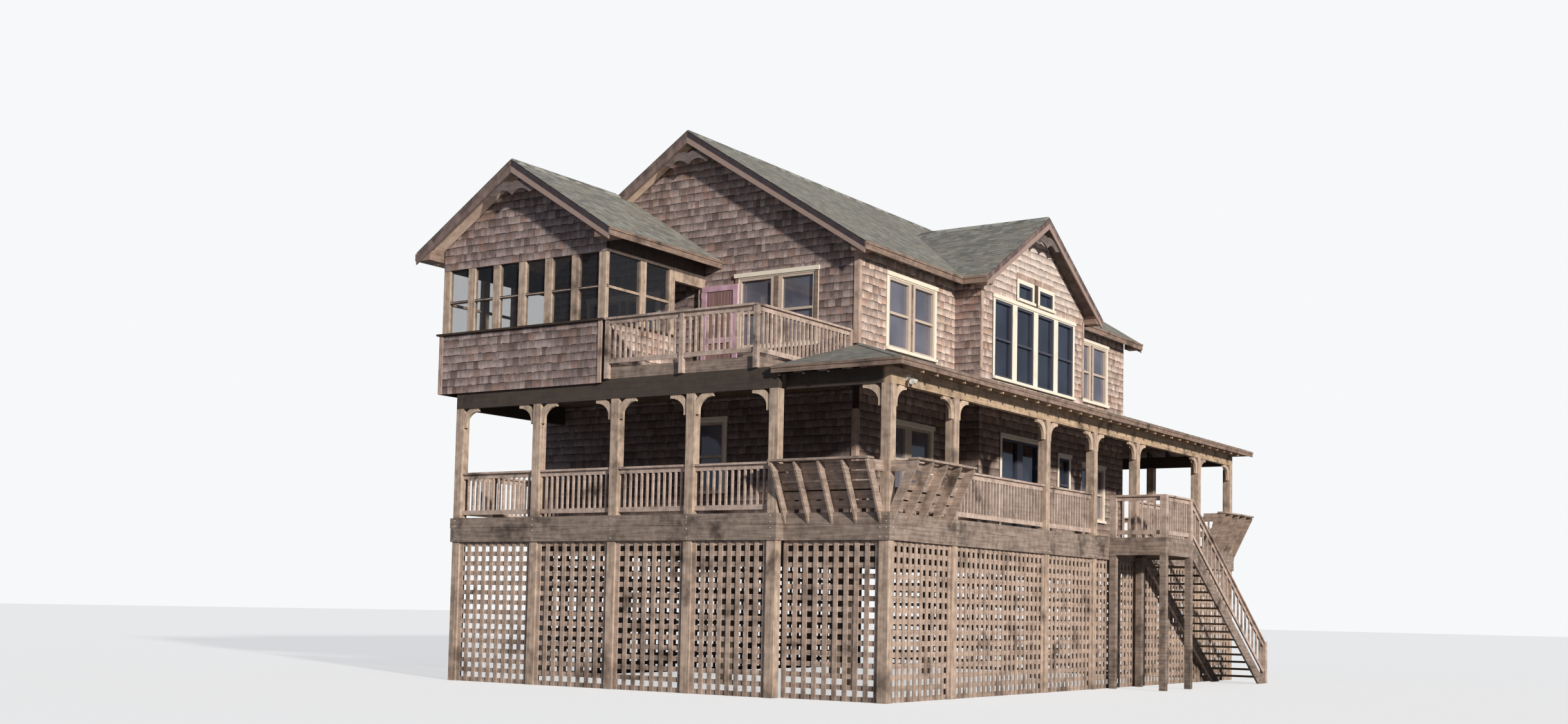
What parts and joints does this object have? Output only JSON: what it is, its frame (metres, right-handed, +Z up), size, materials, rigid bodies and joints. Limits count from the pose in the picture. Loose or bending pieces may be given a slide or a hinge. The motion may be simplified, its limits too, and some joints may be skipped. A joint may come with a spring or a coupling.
{
  "type": "beach house",
  "caption": "Two-storey shingled timber beach house on posts with lattice skirting, wrap-around porch, upper screened porch, balcony, gabled bay and outside stair",
  "frame": {"origin": "foot of the post under the middle of the house, on the ground, below the main ridge line and half way along the deck", "axes": "+Z up; +Y from the front with the screened porch towards the rear, along the main ridge; +X towards the side with the bay and the stair"},
  "size_m": [12.438, 18.79, 11.6237],
  "materials": {
    "cedar_shingle": "weathered cedar shingles, matte",
    "trim_timber": "brown stained boards, matte",
    "rim_timber": "brown stained rim boards, matte",
    "white_trim": "painted, satin",
    "roof_shingle": "mineral-faced shingles, rough",
    "glass": "clear, dark behind",
    "insect_screen": "fine dark mesh",
    "pink_door": "faded paint",
    "white_metal": "satin",
    "lattice_timber": "weathered, matte",
    "floor_timber": "weathered boards, matte",
    "weathered_timber": "weathered, matte"
  },
  "bodies": {
    "root": {"front_posts": "weathered_timber", "right_posts": "weathered_timber", "rear_posts": "weathered_timber", "pilings": "weathered_timber", "rim_boards": "rim_timber", "deck_floor": "floor_timber", "main_floor": "floor_timber", "lattice_front_left": "lattice_timber", "lattice_front_mid": "lattice_timber", "lattice_front_right": "lattice_timber", "lattice_right_front": "lattice_timber", "lattice_right_mid": "lattice_timber", "lattice_right_rear": "lattice_timber", "lattice_left_front": "lattice_timber", "lattice_left_rear": "lattice_timber", "lattice_rear_right": "lattice_timber", "lattice_rear_left": "lattice_timber", "porch_beams": "weathered_timber", "post_brackets": "weathered_timber", "front_railing": "weathered_timber", "right_railing": "weathered_timber", "rear_railing": "weathered_timber", "landing": "rim_timber", "landing_railing": "weathered_timber", "stair_stringers": "weathered_timber", "stair_treads": "floor_timber", "stair_railing": "weathered_timber", "front_bench": "weathered_timber", "side_bench": "weathered_timber", "rear_bench": "weathered_timber", "front_wall": "cedar_shingle", "right_wall_front": "cedar_shingle", "right_wall_rear": "cedar_shingle", "bay_end_walls": "cedar_shingle", "bay_side_wall": "cedar_shingle", "rear_wall": "cedar_shingle", "left_wall": "cedar_shingle", "upper_floor": "floor_timber", "balcony_floor": "floor_timber", "balcony_rim": "trim_timber", "balcony_railing_front": "weathered_timber", "balcony_railing_side": "weathered_timber", "parapet": "cedar_shingle", "screen_posts": "weathered_timber", "screens": "insect_screen", "screen_gable": "cedar_shingle", "screen_door": "pink_door", "screen_roof": "roof_shingle", "main_roof": "roof_shingle", "bay_roof": "roof_shingle", "porch_roof": "roof_shingle", "porch_rafters": "weathered_timber", "rake_boards": "trim_timber", "fascia_boards": "trim_timber", "scalloped_boards": "trim_timber", "corner_boards": "trim_timber", "window_frames": "white_trim", "upper_glass": "glass", "lower_glass": "glass", "flood_light": "white_metal"}
  },
  "joints": []
}
